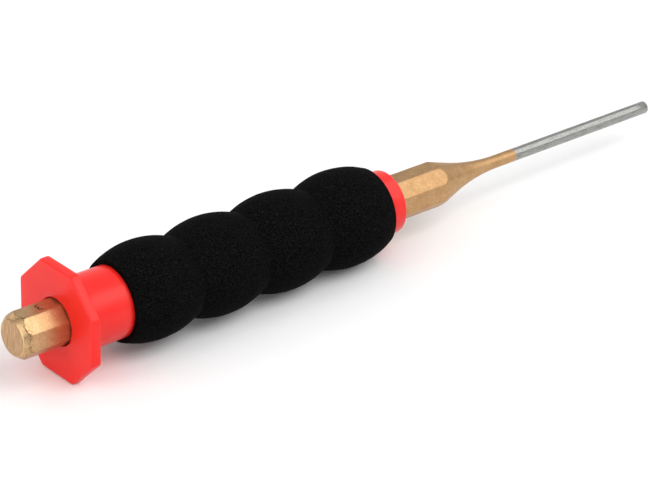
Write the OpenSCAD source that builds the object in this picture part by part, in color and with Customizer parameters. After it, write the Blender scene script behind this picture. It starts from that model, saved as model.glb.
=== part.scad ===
// Pin punch with a hand guard sleeve and a foam grip.
// The tool lies along X. The origin is the middle of the striking face, and the pin points to +X.
// Flats of the octagonal bar and of the guard face straight up and down. All sizes are in millimetres.

/* [Punch] */
// Length from the striking face to the tip of the pin
punch_l = 185; // [150:1:240]
// Octagonal bar, measured across its flats
bar_af = 10; // [8:0.5:14]
// Diameter of the flat striking face
head_face_d = 8.2; // [6:0.1:9.8]
// Length of the turned chamfer round the striking face, measured at the bar's corners
head_chamfer_l = 1.9; // [0.5:0.1:4]
// Diameter of the straight pin
pin_d = 3; // [1.5:0.1:7]
// Length of the straight pin
pin_l = 48; // [20:1:70]
// Chamfer on the edge of the pin's tip
tip_chamfer = 0.2; // [0.1:0.05:0.5]
// Angle of the taper's cone to the axis, in degrees
taper_angle = 17.5; // [8:0.5:40]
// Radius of the hollow curve that leads the taper into the pin
taper_fillet_r = 48; // [10:1:80]

/* [Guard sleeve] */
// Length of bar left bare between the striking face and the guard
head_stickout = 11.4; // [5:0.1:25]
// Length of the whole sleeve, guard included
sleeve_l = 92; // [70:0.1:110]
// Octagonal guard, measured across its flats
guard_af = 26; // [20:0.5:36]
// Thickness of the guard
guard_t = 2.3; // [1.5:0.1:5]
// Wall of the sleeve where it leaves the guard
sleeve_rear_wall = 2.9; // [1.5:0.05:4]
// Wall of the sleeve at its front end
sleeve_front_wall = 1.95; // [1:0.05:3]
// Chamfer on the outer edge of the front end
sleeve_edge_chamfer = 0.4; // [0.1:0.05:0.8]

/* [Foam grip] */
// Stretch of sleeve left showing between the guard and the foam
collar_l = 12.4; // [5:0.1:20]
// Stretch of sleeve left showing in front of the foam
ring_l = 4.8; // [1:0.1:8]
// Number of bulbs along the foam
bulb_count = 4; // [2:1:6]
// Thickness of the foam over the crown of a bulb
foam_crown_t = 3.4; // [2:0.05:6]
// Thickness of the foam in the crease between two bulbs
foam_crease_t = 1.4; // [0.6:0.05:1.8]

/* [Fits] */
// Radial clearance between the bar's corners and the sleeve's round bore
bar_fit = 0.05; // [0.02:0.01:0.1]
// Radial clearance between the sleeve and the foam's bore
foam_fit = 0.05; // [0.02:0.01:0.1]

/* [Hidden] */
// Smoothness of round shapes
$fn = 128;
// Overrun of every cut past the face that it opens
cut_over = 1;

// An octagon's corners lie this many degrees from the middle of its flats
half_corner = 180 / 8;

// The bar
bar_corner_r = bar_af / 2 / cos(half_corner);
pin_r = pin_d / 2;
pin_x = punch_l - pin_l;
// The hollow curve rises no further than the bar's corners
fillet_rise = min(taper_fillet_r * (1 - cos(taper_angle)), bar_corner_r - pin_r);
fillet_r = fillet_rise / (1 - cos(taper_angle));
// The curve meets the cone here, and the cone runs out at the bar's corners here
fillet_x = pin_x - fillet_r * sin(taper_angle);
taper_x = fillet_x - (bar_corner_r - pin_r - fillet_rise) / tan(taper_angle);
// The turned outline stands clear of the bar's corners, so that only its two cones cut them
turned_r = bar_corner_r + cut_over;
head_slope = head_chamfer_l / (bar_corner_r - head_face_d / 2);

// The sleeve
bore_r = bar_corner_r + bar_fit;
sleeve_x = head_stickout;
tube_x = sleeve_x + guard_t;
sleeve_end_x = sleeve_x + sleeve_l;
tube_rear_r = bore_r + sleeve_rear_wall;
tube_front_r = bore_r + sleeve_front_wall;
// The tube's radius at a place along the axis: it tapers evenly from the guard to the front end
function tube_r(x) = tube_rear_r + (tube_front_r - tube_rear_r) * (x - tube_x) / (sleeve_end_x - tube_x);

// The foam
foam_x = tube_x + collar_l;
foam_end_x = sleeve_end_x - ring_l;
// The foam is cut off square where a crease would come, so all of its bulbs are alike
bulb_pitch = (foam_end_x - foam_x) / bulb_count;
first_bulb_x = foam_x + bulb_pitch / 2;
// A bulb's arc passes through its crown and the creases half a pitch away
foam_bore_r = tube_r((foam_x + foam_end_x) / 2) + foam_fit;
bulb_crown_r = foam_bore_r + foam_crown_t;
crease_drop = foam_crown_t - foam_crease_t;
bulb_arc_r = (pow(crease_drop, 2) + pow(bulb_pitch / 2, 2)) / (2 * crease_drop);

// Turns a shape that is built along Z to lie along X
module along_x() {
    rotate([0, 90, 0]) children();
}

// An octagonal bar along X with flats up and down, from x on
module octagon_bar(af, x, length) {
    translate([x, 0, 0])
        along_x()
            rotate([0, 0, half_corner])
                cylinder(r = af / 2 / cos(half_corner), h = length, $fn = 8);
}

// Outline of the turned punch, as radius and place along the axis
module punch_outline() {
    difference() {
        polygon([
            [0, 0],
            [head_face_d / 2, 0],
            [turned_r, head_chamfer_l + cut_over * head_slope],
            [turned_r, taper_x - cut_over / tan(taper_angle)],
            [pin_r + fillet_rise, fillet_x],
            [pin_r, pin_x],
            [pin_r, punch_l - tip_chamfer],
            [pin_r - tip_chamfer, punch_l],
            [0, punch_l]
        ]);
        translate([pin_r + fillet_r, pin_x]) circle(r = fillet_r);
    }
}

// The steel punch: an octagonal bar turned down to a chamfered head, a taper and a pin
module punch() {
    color("#c59a5e")
        intersection() {
            octagon_bar(bar_af, -cut_over, punch_l + 2 * cut_over);
            along_x() rotate_extrude() punch_outline();
        }
}

// Outline of the tube that leaves the guard, as radius and place along the axis
module tube_outline() {
    polygon([
        [0, sleeve_x],
        [tube_rear_r, sleeve_x],
        [tube_rear_r, tube_x],
        [tube_r(sleeve_end_x - sleeve_edge_chamfer), sleeve_end_x - sleeve_edge_chamfer],
        [tube_front_r - sleeve_edge_chamfer, sleeve_end_x],
        [0, sleeve_end_x]
    ]);
}

// The plastic sleeve: an octagonal guard and a tapering tube, with a round bore that the bar's corners fit in
module guard_sleeve() {
    color("#e8262a")
        difference() {
            union() {
                octagon_bar(guard_af, sleeve_x, guard_t);
                along_x() rotate_extrude() tube_outline();
            }
            translate([sleeve_x - cut_over, 0, 0])
                along_x() cylinder(r = bore_r, h = sleeve_l + 2 * cut_over);
        }
}

// Outline of the foam: a row of arcs, open where the sleeve's tube goes through
module foam_outline() {
    difference() {
        intersection() {
            translate([0, foam_x]) square([bulb_crown_r, foam_end_x - foam_x]);
            for (i = [0 : bulb_count - 1])
                translate([bulb_crown_r - bulb_arc_r, first_bulb_x + i * bulb_pitch])
                    circle(r = bulb_arc_r);
        }
        polygon([
            [0, foam_x - cut_over],
            [tube_r(foam_x - cut_over) + foam_fit, foam_x - cut_over],
            [tube_r(foam_end_x + cut_over) + foam_fit, foam_end_x + cut_over],
            [0, foam_end_x + cut_over]
        ]);
    }
}

// The foam rubber grip: a tube of bulbs stretched over the sleeve
module foam_grip() {
    color("#1b1b1c") along_x() rotate_extrude() foam_outline();
}

punch();
guard_sleeve();
foam_grip();
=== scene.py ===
# A pin punch with a red hand-guard sleeve and a black foam grip, lying on a pale table in soft studio light.
# The tool lies along X, the middle of its striking face is the origin, and all lengths are in metres.
import math

import bmesh
import bpy
from mathutils import Matrix, Vector, noise


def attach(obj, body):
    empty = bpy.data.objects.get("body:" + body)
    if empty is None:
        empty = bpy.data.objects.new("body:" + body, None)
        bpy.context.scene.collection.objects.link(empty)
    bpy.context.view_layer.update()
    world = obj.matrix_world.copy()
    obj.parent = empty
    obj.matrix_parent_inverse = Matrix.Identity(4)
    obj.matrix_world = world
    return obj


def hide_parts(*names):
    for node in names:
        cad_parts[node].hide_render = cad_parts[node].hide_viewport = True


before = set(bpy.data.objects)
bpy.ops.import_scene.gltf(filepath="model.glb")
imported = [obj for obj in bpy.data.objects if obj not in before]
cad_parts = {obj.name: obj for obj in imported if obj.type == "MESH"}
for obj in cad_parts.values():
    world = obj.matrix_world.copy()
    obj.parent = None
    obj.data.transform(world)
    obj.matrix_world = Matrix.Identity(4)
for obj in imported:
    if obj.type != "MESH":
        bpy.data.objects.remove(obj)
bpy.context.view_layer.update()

MM = 0.001

# The steel punch, as in the part's source
PUNCH_L = 185 * MM
BAR_AF = 10 * MM
HEAD_FACE_R = 4.1 * MM
HEAD_CHAMFER_L = 1.9 * MM
PIN_R = 1.5 * MM
PIN_L = 48 * MM
TIP_CHAMFER = 0.2 * MM
TAPER_ANGLE = math.radians(17.5)
TAPER_FILLET_R = 48 * MM
# The lacquer ends here, and the front of the pin is bare
LACQUER_END_X = 142.2 * MM

# The plastic sleeve
SLEEVE_X = 11.4 * MM
SLEEVE_L = 92 * MM
GUARD_AF = 26 * MM
GUARD_T = 2.3 * MM
BORE_R = 5.462 * MM
TUBE_REAR_R = 8.366 * MM
TUBE_FRONT_R = 7.416 * MM
SLEEVE_EDGE = 0.4 * MM

# The foam grip
COLLAR_L = 12.4 * MM
RING_L = 4.8 * MM
BULB_COUNT = 4
FOAM_CROWN_T = 3.4 * MM
FOAM_CREASE_T = 1.4 * MM
FOAM_FIT = 0.05 * MM

# An octagon's corners lie this far round from the middle of its flats
HALF_CORNER = math.pi / 8
CORNER_SHARE = 1 / math.cos(HALF_CORNER)

# Places and radii that follow from these
TUBE_X = SLEEVE_X + GUARD_T
SLEEVE_END_X = SLEEVE_X + SLEEVE_L
PIN_X = PUNCH_L - PIN_L
FILLET_RISE = TAPER_FILLET_R * (1 - math.cos(TAPER_ANGLE))
FILLET_X = PIN_X - TAPER_FILLET_R * math.sin(TAPER_ANGLE)
BAR_CORNER_R = BAR_AF / 2 * CORNER_SHARE
TAPER_X = FILLET_X - (BAR_CORNER_R - PIN_R - FILLET_RISE) / math.tan(TAPER_ANGLE)
FOAM_X = TUBE_X + COLLAR_L
FOAM_END_X = SLEEVE_END_X - RING_L
BULB_PITCH = (FOAM_END_X - FOAM_X) / BULB_COUNT
BULB_PLACES = [FOAM_X + BULB_PITCH * (i + 0.5) for i in range(BULB_COUNT)]


def spaced(start, end, count):
    """Evenly spaced values from start to end, both included."""
    return [start + (end - start) * i / (count - 1) for i in range(count)]


def soft_min(a, b, blend):
    """The lesser of two lengths, rounded off where they are within blend of each other."""
    near = max(blend - abs(a - b), 0) / blend
    return min(a, b) - near * near * blend / 4


def tube_r(x):
    """Outer radius of the sleeve's tube at a place along the axis."""
    return TUBE_REAR_R + (TUBE_FRONT_R - TUBE_REAR_R) * (x - TUBE_X) / (SLEEVE_END_X - TUBE_X)


BULB_CROWN_R = tube_r((FOAM_X + FOAM_END_X) / 2) + FOAM_FIT + FOAM_CROWN_T
CREASE_DROP = FOAM_CROWN_T - FOAM_CREASE_T
BULB_ARC_R = (CREASE_DROP ** 2 + (BULB_PITCH / 2) ** 2) / (2 * CREASE_DROP)


def turned(outline, steps, closed=False):
    """A body turned about X from its outline of places along the axis and radii."""
    bm = bmesh.new()
    line = [bm.verts.new((x, 0, r)) for x, r in outline]
    pairs = list(zip(line, line[1:])) + ([(line[-1], line[0])] if closed else [])
    edges = [bm.edges.new(pair) for pair in pairs]
    bmesh.ops.spin(bm, geom=line + edges, cent=(0, 0, 0), axis=(1, 0, 0), angle=2 * math.pi,
                   steps=steps, use_merge=True)
    bmesh.ops.remove_doubles(bm, verts=bm.verts, dist=0.001 * MM)
    bmesh.ops.recalc_face_normals(bm, faces=bm.faces)
    return bm


def finished(name, bm, material, body, node=None, sharp=40):
    """The piece's object, from its finished shape. It rides on a body and stands for a node of the part.
    Edges that turn by more than sharp degrees stay crisp."""
    mesh = bpy.data.meshes.new(name)
    for face in bm.faces:
        face.smooth = True
    bm.to_mesh(mesh)
    bm.free()
    mesh.set_sharp_from_angle(angle=math.radians(sharp))
    mesh.materials.append(material)
    piece = bpy.data.objects.new(name, mesh)
    bpy.context.scene.collection.objects.link(piece)
    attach(piece, body)
    if node:
        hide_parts(node)
    return piece


# Materials


def linear(hex_colour):
    """Linear colour of an sRGB hex value."""
    parts = [int(hex_colour[i:i + 2], 16) / 255 for i in (1, 3, 5)]
    return [p / 12.92 if p <= 0.04045 else ((p + 0.055) / 1.055) ** 2.4 for p in parts] + [1]


def add(tree, kind, inputs=None, **settings):
    """One node with its settings, its fixed inputs and its links. Returns its first shown output."""
    made = tree.nodes.new(kind)
    for name, value in settings.items():
        setattr(made, name, value)
    for socket, value in (inputs or {}).items():
        if isinstance(value, bpy.types.NodeSocket):
            tree.links.new(value, made.inputs[socket])
        else:
            made.inputs[socket].default_value = value
    return next(o for o in made.outputs if o.enabled)


# A mix node's sockets go by number, because its kinds of mix share their names:
# its share, its two colours and its two numbers
MIX_SHARE, MIX_A, MIX_B, NUMBER_A, NUMBER_B = 0, 6, 7, 2, 3


def new_material(name, **fixed):
    """An empty material with its shader's fixed values. Returns it, its tree, shader and coordinates."""
    material = bpy.data.materials.new(name)
    material.use_nodes = True
    tree = material.node_tree
    shader = tree.nodes["Principled BSDF"]
    for socket, value in fixed.items():
        shader.inputs[socket.replace("_", " ")].default_value = value
    place = add(tree, "ShaderNodeTexCoord").node.outputs["Object"]
    return material, tree, shader, place


def gold_lacquered_steel():
    """Chrome vanadium steel under gold lacquer, and bare where the front of the pin is ground.
    The lacquer is satin, slightly mottled and grainy, and glossier at the head, where its colour is also
    painted paler as a highlight. The striking face is brushed, its rim carries a painted highlight, and dark
    chips lie where the turned head meets the flats.
    The ground steel is grey and shinier, with fine marks round the pin and dull streaks along it.
    Grain, chips and marks are drawn 0.3 to 0.5 mm wide, coarser than real ones, so that they show."""
    mottle_size, grain_size, chip_size = 2.2 * MM, 0.4 * MM, 0.32 * MM
    brush_width, brush_length = 0.3 * MM, 3 * MM
    mark_width, mark_length = 0.45 * MM, 9 * MM
    streak_width, streak_length = 0.35 * MM, 2.5 * MM
    line_wander = 0.25 * MM
    material, tree, shader, place = new_material("gold_lacquered_steel", Metallic=0.85)
    x = add(tree, "ShaderNodeSeparateXYZ", {"Vector": place})
    mottle = add(tree, "ShaderNodeTexNoise", {"Vector": place, "Scale": 1 / mottle_size, "Detail": 3.0})
    grain = add(tree, "ShaderNodeTexNoise", {"Vector": place, "Scale": 1 / grain_size, "Detail": 3.0})
    mottled = add(tree, "ShaderNodeMapRange", {"Value": mottle, "From Min": 0.3, "From Max": 0.7})
    grainy = add(tree, "ShaderNodeMapRange", {"Value": grain, "From Min": 0.3, "From Max": 0.65})
    front = add(tree, "ShaderNodeMix",
                {MIX_SHARE: mottled, MIX_A: linear("#BC9363"), MIX_B: linear("#CAA174")}, data_type="RGBA")
    # Painted highlight: the head's gold is paler than the front's, standing in for the brighter light that
    # falls on the head
    head = add(tree, "ShaderNodeMix",
               {MIX_SHARE: mottled, MIX_A: linear("#C29E6E"), MIX_B: linear("#D3AF84")}, data_type="RGBA")
    toward_head = add(tree, "ShaderNodeMapRange", {"Value": x, "From Min": 12 * MM, "From Max": 2 * MM})
    gold = add(tree, "ShaderNodeMix", {MIX_SHARE: toward_head, MIX_A: front, MIX_B: head}, data_type="RGBA")
    shade = add(tree, "ShaderNodeMix",
                {MIX_SHARE: grainy, MIX_A: linear("#E4E4E4"), MIX_B: linear("#FFFFFF")}, data_type="RGBA")
    gold = add(tree, "ShaderNodeMix", {MIX_SHARE: 1.0, MIX_A: gold, MIX_B: shade}, data_type="RGBA",
               blend_type="MULTIPLY")
    # The striking face is brushed upright
    brush_place = add(tree, "ShaderNodeMapping",
                      {"Vector": place, "Scale": (0, 1 / brush_width, 1 / brush_length)})
    brush = add(tree, "ShaderNodeTexNoise", {"Vector": brush_place, "Scale": 1.0, "Detail": 3.0})
    brush = add(tree, "ShaderNodeMapRange", {"Value": brush, "From Min": 0.3, "From Max": 0.7})
    brushed = add(tree, "ShaderNodeMix",
                  {MIX_SHARE: brush, MIX_A: linear("#A27A52"), MIX_B: linear("#D3AD84")}, data_type="RGBA")
    on_face = add(tree, "ShaderNodeMapRange", {"Value": x, "From Min": 0.12 * MM, "From Max": 0.02 * MM})
    gold = add(tree, "ShaderNodeMix", {MIX_SHARE: on_face, MIX_A: gold, MIX_B: brushed}, data_type="RGBA")
    # Painted highlight: a pale band round the striking face's rounded rim, where the edge catches the light
    painted_rim_highlight = add(tree, "ShaderNodeMapRange",
              {"Value": x, "From Min": 0.3 * MM, "From Max": 0.1 * MM, "To Max": 0.45})
    painted_rim_highlight = add(tree, "ShaderNodeMath", {0: painted_rim_highlight, 1: on_face}, operation="SUBTRACT", use_clamp=True)
    gold = add(tree, "ShaderNodeMix", {MIX_SHARE: painted_rim_highlight, MIX_A: gold, MIX_B: linear("#F0D0A0")},
               data_type="RGBA")
    # Chips in the lacquer where the turned cone meets the flats, which the mesh marks as edge
    edge = add(tree, "ShaderNodeAttribute", attribute_name="edge").node.outputs["Fac"]
    chip_noise = add(tree, "ShaderNodeTexNoise",
                     {"Vector": place, "Scale": 1 / chip_size, "Detail": 3.0, "Roughness": 0.6})
    chip = add(tree, "ShaderNodeMath", {0: edge, 1: 0.22, 2: chip_noise}, operation="MULTIPLY_ADD")
    chip = add(tree, "ShaderNodeMapRange",
               {"Value": chip, "From Min": 0.69, "From Max": 0.78, "To Max": 0.8})
    gold = add(tree, "ShaderNodeMix", {MIX_SHARE: chip, MIX_A: gold, MIX_B: linear("#6E4E2C")},
               data_type="RGBA")
    # The ground front of the pin
    marks_place = add(tree, "ShaderNodeMapping",
                      {"Vector": place, "Scale": (1 / mark_width, 1 / mark_length, 1 / mark_length)})
    marks = add(tree, "ShaderNodeTexNoise", {"Vector": marks_place, "Scale": 1.0, "Detail": 2.0})
    steel = add(tree, "ShaderNodeMix",
                {MIX_SHARE: marks, MIX_A: linear("#888886"), MIX_B: linear("#AAAAA6")}, data_type="RGBA")
    streak_place = add(tree, "ShaderNodeMapping",
                       {"Vector": place, "Scale": (1 / streak_length, 1 / streak_width, 1 / streak_width)})
    streak = add(tree, "ShaderNodeTexNoise", {"Vector": streak_place, "Scale": 1.0, "Detail": 4.0})
    streak = add(tree, "ShaderNodeMapRange",
                 {"Value": streak, "From Min": 0.5, "From Max": 0.7, "To Max": 0.5})
    steel = add(tree, "ShaderNodeMix", {MIX_SHARE: streak, MIX_A: steel, MIX_B: linear("#5A5A58")},
                data_type="RGBA")
    # The lacquer's end wanders slightly
    wander = add(tree, "ShaderNodeMath", {0: grain, 1: line_wander, 2: x}, operation="MULTIPLY_ADD")
    bare = add(tree, "ShaderNodeMapRange", {"Value": wander, "From Min": LACQUER_END_X,
                                            "From Max": LACQUER_END_X + line_wander})
    colour = add(tree, "ShaderNodeMix", {MIX_SHARE: bare, MIX_A: gold, MIX_B: steel}, data_type="RGBA")
    front_rough = add(tree, "ShaderNodeMapRange", {"Value": grain, "To Min": 0.36, "To Max": 0.46})
    head_rough = add(tree, "ShaderNodeMapRange", {"Value": grain, "To Min": 0.29, "To Max": 0.37})
    lacquer_rough = add(tree, "ShaderNodeMix",
                        {MIX_SHARE: toward_head, NUMBER_A: front_rough, NUMBER_B: head_rough},
                        data_type="FLOAT")
    rough = add(tree, "ShaderNodeMix", {MIX_SHARE: bare, NUMBER_A: lacquer_rough, NUMBER_B: 0.24},
                data_type="FLOAT")
    height = add(tree, "ShaderNodeMix", {MIX_SHARE: bare, NUMBER_A: grain, NUMBER_B: marks},
                 data_type="FLOAT")
    relief = add(tree, "ShaderNodeBump", {"Height": height, "Strength": 0.3, "Distance": 0.03 * MM})
    tree.links.new(colour, shader.inputs["Base Color"])
    tree.links.new(rough, shader.inputs["Roughness"])
    tree.links.new(relief, shader.inputs["Normal"])
    return material


def moulded_red_plastic():
    """Soft PVC from a polished mould: bright red and glossy, with some light spreading inside it.
    The guard came out of a duller part of the mould than the tube, and the bore's lip is rubbed smooth."""
    cloud_size, peel_size = 6 * MM, 1.2 * MM
    material, tree, shader, place = new_material(
        "moulded_red_plastic", IOR=1.53, Specular_IOR_Level=0.34, Subsurface_Weight=0.5,
        Subsurface_Radius=(1.0, 0.12, 0.08), Subsurface_Scale=1.5 * MM)
    cloud = add(tree, "ShaderNodeTexNoise", {"Vector": place, "Scale": 1 / cloud_size, "Detail": 2.0})
    colour = add(tree, "ShaderNodeMix",
                 {MIX_SHARE: cloud, MIX_A: linear("#F8201A"), MIX_B: linear("#FE261F")}, data_type="RGBA")
    x = add(tree, "ShaderNodeSeparateXYZ", {"Vector": place})
    rough = add(tree, "ShaderNodeMapRange", {"Value": x, "From Min": TUBE_X - 0.4 * MM, "From Max": TUBE_X,
                                             "To Min": 0.42, "To Max": 0.28})
    across = add(tree, "ShaderNodeVectorMath", {0: place, 1: (0, 1, 1)}, operation="MULTIPLY")
    across = add(tree, "ShaderNodeVectorMath", {0: across}, operation="LENGTH").node.outputs["Value"]
    past_lip = add(tree, "ShaderNodeMapRange", {"Value": across, "From Min": BORE_R + 0.4 * MM,
                                                "From Max": BORE_R + 0.9 * MM})
    rough = add(tree, "ShaderNodeMix", {MIX_SHARE: past_lip, NUMBER_A: 0.1, NUMBER_B: rough},
                data_type="FLOAT")
    peel = add(tree, "ShaderNodeTexNoise", {"Vector": place, "Scale": 1 / peel_size, "Detail": 1.0})
    relief = add(tree, "ShaderNodeBump", {"Height": peel, "Strength": 0.06, "Distance": 0.05 * MM})
    tree.links.new(colour, shader.inputs["Base Color"])
    tree.links.new(rough, shader.inputs["Roughness"])
    tree.links.new(relief, shader.inputs["Normal"])
    return material


def black_foam_rubber():
    """Closed-cell nitrile foam, ground to shape: nearly black and without gloss, with the cells cut open
    all over and a pale speck of dust in some of them.
    Cells and mottling are drawn 0.3 to 0.4 mm wide, coarser than real ones, so that they show."""
    cell_size, mottle_size = 0.4 * MM, 0.32 * MM
    material, tree, shader, place = new_material(
        "black_foam_rubber", Roughness=0.85, Specular_IOR_Level=0.03)
    cells = add(tree, "ShaderNodeTexVoronoi", {"Vector": place, "Scale": 1 / cell_size})
    fine = add(tree, "ShaderNodeTexNoise", {"Vector": place, "Scale": 1 / mottle_size, "Detail": 2.0})
    walls = add(tree, "ShaderNodeMapRange", {"Value": fine, "From Min": 0.38, "From Max": 0.68})
    colour = add(tree, "ShaderNodeMix",
                 {MIX_SHARE: walls, MIX_A: linear("#020202"), MIX_B: linear("#161616")}, data_type="RGBA")
    pick = add(tree, "ShaderNodeSeparateColor", {"Color": cells.node.outputs["Color"]})
    dusty = add(tree, "ShaderNodeMapRange", {"Value": pick, "From Min": 0.955, "From Max": 0.985})
    middle = add(tree, "ShaderNodeMapRange", {"Value": cells, "From Min": 0.4, "From Max": 0.2})
    speck = add(tree, "ShaderNodeMath", {0: dusty, 1: middle}, operation="MULTIPLY")
    colour = add(tree, "ShaderNodeMix", {MIX_SHARE: speck, MIX_A: colour, MIX_B: linear("#2C2C2C")},
                 data_type="RGBA")
    height = add(tree, "ShaderNodeMath", {0: cells, 1: fine}, operation="ADD")
    relief = add(tree, "ShaderNodeBump", {"Height": height, "Strength": 0.4, "Distance": 0.12 * MM})
    tree.links.new(colour, shader.inputs["Base Color"])
    tree.links.new(relief, shader.inputs["Normal"])
    return material


def etched_mark():
    """The floor of a shallow etched figure: dark, dull oxide."""
    spot_size = 0.3 * MM
    material, tree, shader, place = new_material("etched_mark", Metallic=0.6, Roughness=0.6)
    spots = add(tree, "ShaderNodeTexNoise", {"Vector": place, "Scale": 1 / spot_size})
    colour = add(tree, "ShaderNodeMix",
                 {MIX_SHARE: spots, MIX_A: linear("#2E2014"), MIX_B: linear("#5A4026")}, data_type="RGBA")
    tree.links.new(colour, shader.inputs["Base Color"])
    return material


def white_table():
    """A matt white table that looks purely white to the eye and in reflections, and still takes shadows."""
    material, tree, shader, _ = new_material("white_table", Roughness=0.9, Specular_IOR_Level=0.0)
    rays = add(tree, "ShaderNodeLightPath").node.outputs
    seen = add(tree, "ShaderNodeMath", {0: rays["Is Camera Ray"], 1: rays["Is Glossy Ray"]},
               operation="MAXIMUM")
    seen = add(tree, "ShaderNodeMath", {0: seen, 1: rays["Is Transmission Ray"]}, operation="MAXIMUM")
    colour = add(tree, "ShaderNodeMix",
                 {MIX_SHARE: seen, MIX_A: linear("#D8D8D8"), MIX_B: linear("#FFFFFF")}, data_type="RGBA")
    tree.links.new(colour, shader.inputs["Base Color"])
    return material


# The pieces


def octagon_reach(angle):
    """How far the bar's octagon reaches from its middle at an angle, with its corners slightly rounded."""
    corner_trim, corner_blend = 0.04 * MM, 0.08 * MM
    from_flat = (angle + HALF_CORNER) % (2 * HALF_CORNER) - HALF_CORNER
    return soft_min(BAR_AF / 2 / math.cos(from_flat), BAR_CORNER_R - corner_trim, corner_blend)


def make_punch():
    """The steel punch: a blank turned from striking face to pin, with eight flats pressed on it.
    Its edge attribute marks where the head's flats begin."""
    blank_spare = 1 * MM
    chamfer_swell = 0.1 * MM
    edge_band, press_blend = 0.9 * MM, 0.06 * MM
    blank_r = BAR_CORNER_R + blank_spare
    head_slope = (BAR_CORNER_R - HEAD_FACE_R) / HEAD_CHAMFER_L
    # The striking face, its rounded rim and the slightly swollen chamfer
    outline = [(0, r) for r in spaced(0, HEAD_FACE_R - 0.3 * MM, 6)]
    outline += [(0.03 * MM, HEAD_FACE_R - 0.12 * MM), (0.11 * MM, HEAD_FACE_R + 0.02 * MM)]
    for x in spaced(0.22 * MM, 2.6 * MM, 26):
        swell = chamfer_swell * max(0, 1 - (x / HEAD_CHAMFER_L - 0.5) ** 2 * 4)
        outline.append((x, HEAD_FACE_R + head_slope * x + swell))
    outline += [((blank_r - HEAD_FACE_R) / head_slope + 0.5 * MM, blank_r)]
    # The taper: a cone, closely divided where it runs out of the flats, and a hollow curve
    cone = [TAPER_X - blank_spare / math.tan(TAPER_ANGLE)]
    cone += spaced(TAPER_X - 0.3 * MM, TAPER_X + 1.8 * MM, 24)
    cone += spaced(TAPER_X + 2.2 * MM, FILLET_X, 8)
    outline += [(x, PIN_R + FILLET_RISE + (FILLET_X - x) * math.tan(TAPER_ANGLE)) for x in cone]
    for angle in spaced(TAPER_ANGLE, 0, 25)[1:]:
        outline.append((PIN_X - TAPER_FILLET_R * math.sin(angle),
                        PIN_R + TAPER_FILLET_R * (1 - math.cos(angle))))
    # The pin and its tip
    outline += [(x, PIN_R) for x in spaced(PIN_X, PUNCH_L - TIP_CHAMFER, 12)[1:]]
    outline += [(PUNCH_L - 0.06 * MM, PIN_R - 0.06 * MM), (PUNCH_L, PIN_R - TIP_CHAMFER)]
    outline += [(PUNCH_L, PIN_R / 2), (PUNCH_L, 0)]
    bm = turned(outline, steps=256)
    edge = bm.verts.layers.float.new("edge")
    for vert in bm.verts:
        r = math.hypot(vert.co.y, vert.co.z)
        if r > PIN_R:
            reach = octagon_reach(math.atan2(vert.co.z, vert.co.y))
            vert[edge] = max(0, 1 - abs(r - reach) / edge_band) if vert.co.x < SLEEVE_X else 0
            pressed = soft_min(r, reach, press_blend) / r
            vert.co.y *= pressed
            vert.co.z *= pressed
    return finished("punch_body", bm, gold_lacquered_steel(), "bar", "punch", sharp=60)


def make_size_mark():
    """The pin's size in millimetres, etched on the head's upper flat. It reads from the far side."""
    curve = bpy.data.curves.new("size_mark", "FONT")
    curve.body = "3"
    curve.size = 3.3 * MM
    curve.align_x = "CENTER"
    curve.extrude = 0.01 * MM
    figure = bpy.data.objects.new("size_mark_figure", curve)
    bpy.context.scene.collection.objects.link(figure)
    bpy.context.view_layer.update()
    mesh = bpy.data.meshes.new_from_object(figure.evaluated_get(bpy.context.evaluated_depsgraph_get()))
    bpy.data.objects.remove(figure)
    bm = bmesh.new()
    bm.from_mesh(mesh)
    bpy.data.meshes.remove(mesh)
    place = Matrix.Translation((7 * MM, 1.15 * MM, BAR_AF / 2)) @ Matrix.Rotation(math.pi, 4, "Z")
    bmesh.ops.transform(bm, matrix=place, verts=bm.verts)
    return finished("size_mark", bm, etched_mark(), "bar")


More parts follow.
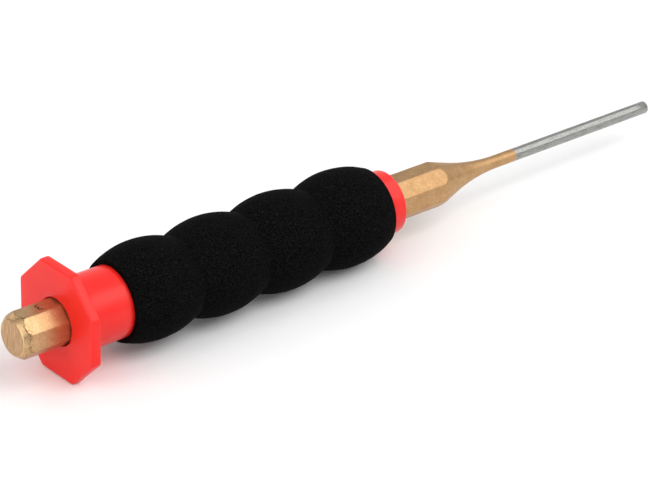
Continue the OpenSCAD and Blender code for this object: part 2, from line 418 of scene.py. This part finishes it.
def make_sleeve():
    """The plastic sleeve: an octagonal guard and a tapering tube, grown ring by ring from the bore's rear lip
    over the outside to its front lip, and closed along the bore."""
    corner_round = 0.45 * MM
    head_rim, grip_rim = 0.5 * MM, 0.3 * MM
    lip, root = 0.35 * MM, 0.6 * MM
    half_guard = GUARD_AF / 2
    bm = bmesh.new()
    upright = Matrix.Rotation(math.pi / 2, 4, "Y") @ Matrix.Rotation(HALF_CORNER, 4, "Z")
    bmesh.ops.create_circle(bm, cap_ends=True, segments=8, radius=half_guard * CORNER_SHARE,
                            matrix=upright)
    bmesh.ops.bevel(bm, geom=bm.verts, offset=corner_round, offset_type="OFFSET", segments=6, profile=0.5,
                    affect="VERTICES", material=-1)
    # Only the flats are longer than the rounded corners
    flats = [e for e in bm.edges if e.calc_length() > 3 * MM]
    bmesh.ops.subdivide_edges(bm, edges=flats, cuts=11)
    bmesh.ops.delete(bm, geom=bm.faces[:], context="FACES_ONLY")
    reach = bm.verts.layers.float.new("reach")
    for vert in bm.verts:
        vert[reach] = math.hypot(vert.co.y, vert.co.z) / half_guard

    def set_ring(verts, x, octagon, r):
        """Moves a ring's corners to a place along the axis, as an octagon or as a circle."""
        for vert in verts:
            side = Vector((0, vert.co.y, vert.co.z)).normalized()
            vert.co = Vector((x, 0, 0)) + side * (r * vert[reach] if octagon else r)

    quarter = [math.radians(a) for a in (0, 18, 36, 54, 72, 90)]
    rings = []
    for a in quarter:
        rings.append((SLEEVE_X + lip * (1 - math.sin(a)), False, BORE_R + lip * (1 - math.cos(a))))
    for a in quarter:
        rings.append((SLEEVE_X + head_rim * (1 - math.cos(a)), True,
                      half_guard - head_rim * (1 - math.sin(a))))
    for a in reversed(quarter):
        rings.append((TUBE_X - grip_rim * (1 - math.cos(a)), True,
                      half_guard - grip_rim * (1 - math.sin(a))))
    for a in quarter:
        rings.append((TUBE_X + root * (1 - math.cos(a)), False, tube_r(TUBE_X) + root * (1 - math.sin(a))))
    for x in spaced(TUBE_X + 2 * root, SLEEVE_END_X - SLEEVE_EDGE, 24):
        rings.append((x, False, tube_r(x)))
    for a in quarter[1:]:
        rings.append((SLEEVE_END_X - SLEEVE_EDGE * (1 - math.sin(a)), False,
                      tube_r(SLEEVE_END_X) - SLEEVE_EDGE * (1 - math.cos(a))))
    for a in reversed(quarter):
        rings.append((SLEEVE_END_X - lip * (1 - math.sin(a)), False, BORE_R + lip * (1 - math.cos(a))))

    ring = bm.edges[:]
    first = ring
    set_ring(bm.verts, *rings[0])
    for station in rings[1:]:
        grown = bmesh.ops.extrude_edge_only(bm, edges=ring)["geom"]
        verts = {g for g in grown if isinstance(g, bmesh.types.BMVert)}
        ring = [g for g in grown if isinstance(g, bmesh.types.BMEdge) and set(g.verts) <= verts]
        set_ring(verts, *station)
    bmesh.ops.bridge_loops(bm, edges=first + ring)
    bmesh.ops.recalc_face_normals(bm, faces=bm.faces)
    return finished("guard_sleeve_body", bm, moulded_red_plastic(), "sleeve", "guard_sleeve")


def foam_r(x):
    """Outer radius of the foam at a place along the axis, with soft creases between its bulbs."""
    crease_blend = 0.3 * MM
    r = 0
    for bulb_x in BULB_PLACES:
        off = min(abs(x - bulb_x), BULB_ARC_R)
        bulb = BULB_CROWN_R - BULB_ARC_R + math.sqrt(BULB_ARC_R ** 2 - off ** 2)
        r = -soft_min(-r, -bulb, crease_blend)
    return r


def make_foam():
    """The foam grip: a turned tube of bulbs with rounded ends, ground slightly uneven."""
    end_round = 0.3 * MM
    wave_length, wave_height, ground_off = 3.5 * MM, 0.05 * MM, 0.03 * MM
    turn = [math.radians(a) for a in (0, 30, 60)]
    rear, front = FOAM_X + end_round, FOAM_END_X - end_round
    outline = [(FOAM_X, tube_r(FOAM_X) + FOAM_FIT)]
    outline += [(FOAM_X + end_round * (1 - math.cos(a)), foam_r(rear) - end_round * (1 - math.sin(a)))
                for a in turn]
    outline += [(x, foam_r(x)) for x in spaced(rear, front, 210)]
    outline += [(FOAM_END_X - end_round * (1 - math.cos(a)), foam_r(front) - end_round * (1 - math.sin(a)))
                for a in reversed(turn)]
    outline += [(FOAM_END_X, tube_r(FOAM_END_X) + FOAM_FIT)]
    bm = turned(outline, steps=200, closed=True)
    for vert in bm.verts:
        r = math.hypot(vert.co.y, vert.co.z)
        # The bore stays true
        if r > tube_r(vert.co.x) + 1 * MM:
            uneven = wave_height * noise.noise(vert.co / wave_length) - ground_off
            vert.co.y *= 1 + uneven / r
            vert.co.z *= 1 + uneven / r
    return finished("foam_grip_body", bm, black_foam_rubber(), "grip", "foam_grip")


def make_table():
    """The table, which isn't part of the tool. It is tilted to touch the guard and the foam's last bulb."""
    half_side, air = 3, 0.03 * MM
    tilt = math.atan((GUARD_AF / 2 - BULB_CROWN_R) / (BULB_PLACES[-1] - TUBE_X))
    place = Matrix.Translation((TUBE_X, 0, -GUARD_AF / 2 - air)) @ Matrix.Rotation(-tilt, 4, "Y")
    bm = bmesh.new()
    bmesh.ops.create_grid(bm, x_segments=1, y_segments=1, size=half_side, matrix=place)
    mesh = bpy.data.meshes.new("table")
    bm.to_mesh(mesh)
    bm.free()
    mesh.materials.append(white_table())
    table = bpy.data.objects.new("table", mesh)
    bpy.context.scene.collection.objects.link(table)


make_punch()
make_size_mark()
make_sleeve()
foam = make_foam()
make_table()

# Light: a room that is brighter at the back and on the right, and six soft boxes
ROOM_LEVEL = 0.44
ROOM_RISE = (0.28, 0.16, 0)
TOOL_MIDDLE = Vector((80, 0, 0)) * MM
world = bpy.data.worlds.new("studio")
bpy.context.scene.world = world
world.use_nodes = True
room = world.node_tree
rise = add(room, "ShaderNodeVectorMath", {0: add(room, "ShaderNodeTexCoord"), 1: ROOM_RISE},
           operation="DOT_PRODUCT").node.outputs["Value"]
glow = add(room, "ShaderNodeMath", {0: rise, 1: ROOM_LEVEL}, operation="ADD")
room.links.new(glow, room.nodes["Background"].inputs["Color"])


def soft_box(name, direction, distance, width, height, radiance):
    """A soft box aimed at the tool's middle, its width along the tool.
    Its front adds this radiance to the room's, which shows through it."""
    lamp = bpy.data.lights.new(name, "AREA")
    lamp.shape = "RECTANGLE"
    lamp.size, lamp.size_y = width, height
    lamp.energy = radiance * math.pi * width * height
    box = bpy.data.objects.new(name, lamp)
    bpy.context.scene.collection.objects.link(box)
    toward = Vector(direction).normalized()
    along = (Vector((1, 0, 0)) - toward * toward.x).normalized()
    turn = Matrix((along, toward.cross(along), toward)).transposed().to_4x4()
    box.matrix_world = Matrix.Translation(TOOL_MIDDLE + toward * distance) @ turn


soft_box("key_box", (0.13, -0.58, 0.8), distance=0.8, width=0.5, height=0.5, radiance=3.05)
soft_box("fill_box", (0.42, -0.62, 0.63), distance=0.8, width=0.4, height=0.55, radiance=0.8)
soft_box("pin_box", (0.72, -0.27, 0.64), distance=0.87, width=0.3, height=0.85, radiance=1.45)
soft_box("front_box", (0.5, -0.82, 0.27), distance=0.9, width=0.9, height=0.4, radiance=0.4)
soft_box("back_box", (-0.2, 0.8, 0.56), distance=0.9, width=0.5, height=0.6, radiance=1.15)
soft_box("left_box", (-0.88, -0.2, 0.42), distance=0.9, width=1.0, height=1.0, radiance=1.78)

# Camera: where the photograph was taken from, fitted to the edges of the bar, the guard and the foam
CAMERA_PLACE = Vector((-367.4, -532.6, 362.2)) * MM
CAMERA_AZIMUTH = math.radians(40.366)
CAMERA_ELEVATION = math.radians(27.704)
CAMERA_ROLL = math.radians(1.282)
IMAGE_WIDTH_PX = 648
FOCAL_LENGTH_PX = 3522
SENSOR_WIDTH_MM = 36
camera_data = bpy.data.cameras.new("photo_camera")
camera_data.sensor_width = SENSOR_WIDTH_MM
camera_data.lens = FOCAL_LENGTH_PX / IMAGE_WIDTH_PX * SENSOR_WIDTH_MM
camera_data.clip_end = 20
camera = bpy.data.objects.new("photo_camera", camera_data)
bpy.context.scene.collection.objects.link(camera)
camera.matrix_world = (Matrix.Translation(CAMERA_PLACE) @ Matrix.Rotation(-CAMERA_AZIMUTH, 4, "Z")
                       @ Matrix.Rotation(math.pi / 2 - CAMERA_ELEVATION, 4, "X")
                       @ Matrix.Rotation(CAMERA_ROLL, 4, "Z"))
bpy.context.scene.camera = camera

bpy.context.scene.view_settings.view_transform = "Standard"
